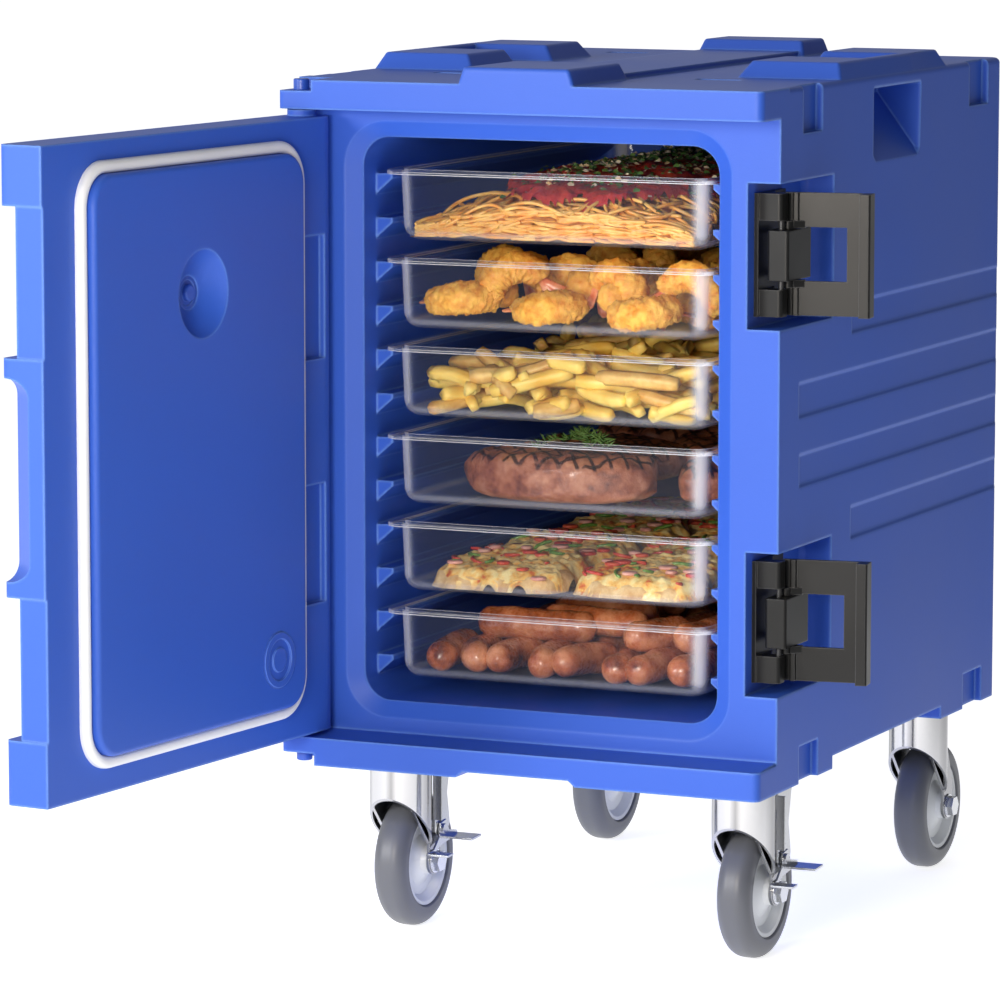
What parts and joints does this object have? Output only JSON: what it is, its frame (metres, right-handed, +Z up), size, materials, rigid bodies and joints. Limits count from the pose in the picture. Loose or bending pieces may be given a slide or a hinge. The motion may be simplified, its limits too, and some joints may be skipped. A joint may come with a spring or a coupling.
{
  "type": "insulated food carrier",
  "caption": "Front-loading insulated food carrier with a hinged door, side latches, clear food pans on moulded ledges and swivel casters.",
  "frame": {"origin": "centre of the flat middle field of the cabinet's underside, between the feet", "axes": "+X to the latch side, +Y to the back, +Z up; the door faces -Y and is hinged at -X"},
  "size_m": [0.5849, 1.0975, 0.8135],
  "materials": {
    "cabinet_blue": "fine pebbled",
    "door_blue": "fine pebbled",
    "foam": "closed cell",
    "pin_blue": "smooth",
    "gasket": "satin",
    "plug_blue": "smooth",
    "clear_pan": "clear",
    "latch_steel": "brushed",
    "latch_black": "satin",
    "tyre_grey": "satin",
    "hub_grey": "satin",
    "fork_chrome": "polished",
    "brake_steel": "zinc",
    "zinc_steel": "zinc"
  },
  "bodies": {
    "cabinet": {"cabinet_foam": "foam", "cabinet_shell": "cabinet_blue", "caster_fl_bolts": "zinc_steel", "caster_fl_mount": "zinc_steel", "caster_fr_bolts": "zinc_steel", "caster_fr_mount": "zinc_steel", "caster_rl_bolts": "zinc_steel", "caster_rl_mount": "zinc_steel", "caster_rr_bolts": "zinc_steel", "caster_rr_mount": "zinc_steel", "hinge_pin_bottom": "pin_blue", "hinge_pin_top": "pin_blue", "latch_lower_anchor_pin": "latch_steel", "latch_lower_base": "latch_black", "latch_lower_screws": "latch_steel", "latch_upper_anchor_pin": "latch_steel", "latch_upper_base": "latch_black", "latch_upper_screws": "latch_steel"},
    "door": {"door_shell": "door_blue", "door_foam": "foam", "door_gasket": "gasket", "door_vent_plug": "plug_blue", "door_fill_plug": "plug_blue"},
    "latch_upper_lever": {"latch_upper_handle": "latch_black", "latch_upper_swing_pin": "latch_steel"},
    "latch_upper_clasp": {"latch_upper_hook": "latch_black"},
    "latch_lower_lever": {"latch_lower_handle": "latch_black", "latch_lower_swing_pin": "latch_steel"},
    "latch_lower_clasp": {"latch_lower_hook": "latch_black"},
    "caster_fr_swivel": {"caster_fr_fork": "fork_chrome", "caster_fr_axle": "zinc_steel", "caster_fr_brake_bracket": "brake_steel"},
    "caster_fr_wheel": {"caster_fr_hub": "hub_grey", "caster_fr_tyre": "tyre_grey"},
    "caster_fr_pedal": {"caster_fr_brake_pedal": "brake_steel"},
    "caster_fl_swivel": {"caster_fl_fork": "fork_chrome", "caster_fl_axle": "zinc_steel", "caster_fl_brake_bracket": "brake_steel"},
    "caster_fl_wheel": {"caster_fl_hub": "hub_grey", "caster_fl_tyre": "tyre_grey"},
    "caster_fl_pedal": {"caster_fl_brake_pedal": "brake_steel"},
    "caster_rr_swivel": {"caster_rr_fork": "fork_chrome", "caster_rr_axle": "zinc_steel"},
    "caster_rr_wheel": {"caster_rr_hub": "hub_grey", "caster_rr_tyre": "tyre_grey"},
    "caster_rl_swivel": {"caster_rl_fork": "fork_chrome", "caster_rl_axle": "zinc_steel"},
    "caster_rl_wheel": {"caster_rl_hub": "hub_grey", "caster_rl_tyre": "tyre_grey"},
    "pan_1_body": {"pan_1": "clear_pan"},
    "pan_2_body": {"pan_2": "clear_pan"},
    "pan_3_body": {"pan_3": "clear_pan"},
    "pan_4_body": {"pan_4": "clear_pan"},
    "pan_5_body": {"pan_5": "clear_pan"},
    "pan_6_body": {"pan_6": "clear_pan"}
  },
  "joints": [
    {"name": "door_hinge", "type": "hinge", "parent": "cabinet", "child": "door", "pos_m": [-0.2205, -0.295, 0.3], "axis": [0, 0, -1], "range_deg": [-95.4, 84.6]},
    {"name": "latch_upper_handle_pivot", "type": "hinge", "parent": "cabinet", "child": "latch_upper_lever", "pos_m": [0.226, -0.245, 0.4655], "axis": [0, 0, -1], "range_deg": [0, 95]},
    {"name": "latch_upper_hook_pivot", "type": "hinge", "parent": "latch_upper_lever", "child": "latch_upper_clasp", "pos_m": [0.228, -0.234, 0.4655], "axis": [0, 0, 1], "range_deg": [-98.6, 12]},
    {"name": "latch_lower_handle_pivot", "type": "hinge", "parent": "cabinet", "child": "latch_lower_lever", "pos_m": [0.226, -0.245, 0.1385], "axis": [0, 0, -1], "range_deg": [0, 95]},
    {"name": "latch_lower_hook_pivot", "type": "hinge", "parent": "latch_lower_lever", "child": "latch_lower_clasp", "pos_m": [0.228, -0.234, 0.1385], "axis": [0, 0, 1], "range_deg": [-98.6, 12]},
    {"name": "caster_fr_swivel_joint", "type": "hinge", "parent": "cabinet", "child": "caster_fr_swivel", "pos_m": [0.172, -0.192, -0.02], "axis": [0, 0, 1], "continuous": true},
    {"name": "caster_fr_wheel_joint", "type": "hinge", "parent": "caster_fr_swivel", "child": "caster_fr_wheel", "pos_m": [0.172, -0.164, -0.1235], "axis": [1, 0, 0], "continuous": true},
    {"name": "caster_fr_brake", "type": "hinge", "parent": "caster_fr_swivel", "child": "caster_fr_pedal", "pos_m": [0.172, -0.156, -0.094], "axis": [-1, 0, 0], "range_deg": [0, 10]},
    {"name": "caster_fl_swivel_joint", "type": "hinge", "parent": "cabinet", "child": "caster_fl_swivel", "pos_m": [-0.172, -0.192, -0.02], "axis": [0, 0, 1], "continuous": true},
    {"name": "caster_fl_wheel_joint", "type": "hinge", "parent": "caster_fl_swivel", "child": "caster_fl_wheel", "pos_m": [-0.172, -0.164, -0.1235], "axis": [1, 0, 0], "continuous": true},
    {"name": "caster_fl_brake", "type": "hinge", "parent": "caster_fl_swivel", "child": "caster_fl_pedal", "pos_m": [-0.172, -0.156, -0.094], "axis": [-1, 0, 0], "range_deg": [0, 10]},
    {"name": "caster_rr_swivel_joint", "type": "hinge", "parent": "cabinet", "child": "caster_rr_swivel", "pos_m": [0.172, 0.265, -0.02], "axis": [0, 0, 1], "continuous": true},
    {"name": "caster_rr_wheel_joint", "type": "hinge", "parent": "caster_rr_swivel", "child": "caster_rr_wheel", "pos_m": [0.172, 0.293, -0.1235], "axis": [1, 0, 0], "continuous": true},
    {"name": "caster_rl_swivel_joint", "type": "hinge", "parent": "cabinet", "child": "caster_rl_swivel", "pos_m": [-0.172, 0.265, -0.02], "axis": [0, 0, 1], "continuous": true},
    {"name": "caster_rl_wheel_joint", "type": "hinge", "parent": "caster_rl_swivel", "child": "caster_rl_wheel", "pos_m": [-0.172, 0.293, -0.1235], "axis": [1, 0, 0], "continuous": true},
    {"name": "pan_1_slide", "type": "slide", "parent": "cabinet", "child": "pan_1_body", "axis": [0, -1, 0], "range_m": [0, 0.45]},
    {"name": "pan_2_slide", "type": "slide", "parent": "cabinet", "child": "pan_2_body", "axis": [0, -1, 0], "range_m": [0, 0.45]},
    {"name": "pan_3_slide", "type": "slide", "parent": "cabinet", "child": "pan_3_body", "axis": [0, -1, 0], "range_m": [0, 0.45]},
    {"name": "pan_4_slide", "type": "slide", "parent": "cabinet", "child": "pan_4_body", "axis": [0, -1, 0], "range_m": [0, 0.45]},
    {"name": "pan_5_slide", "type": "slide", "parent": "cabinet", "child": "pan_5_body", "axis": [0, -1, 0], "range_m": [0, 0.45]},
    {"name": "pan_6_slide", "type": "slide", "parent": "cabinet", "child": "pan_6_body", "axis": [0, -1, 0], "range_m": [0, 0.45]}
  ]
}
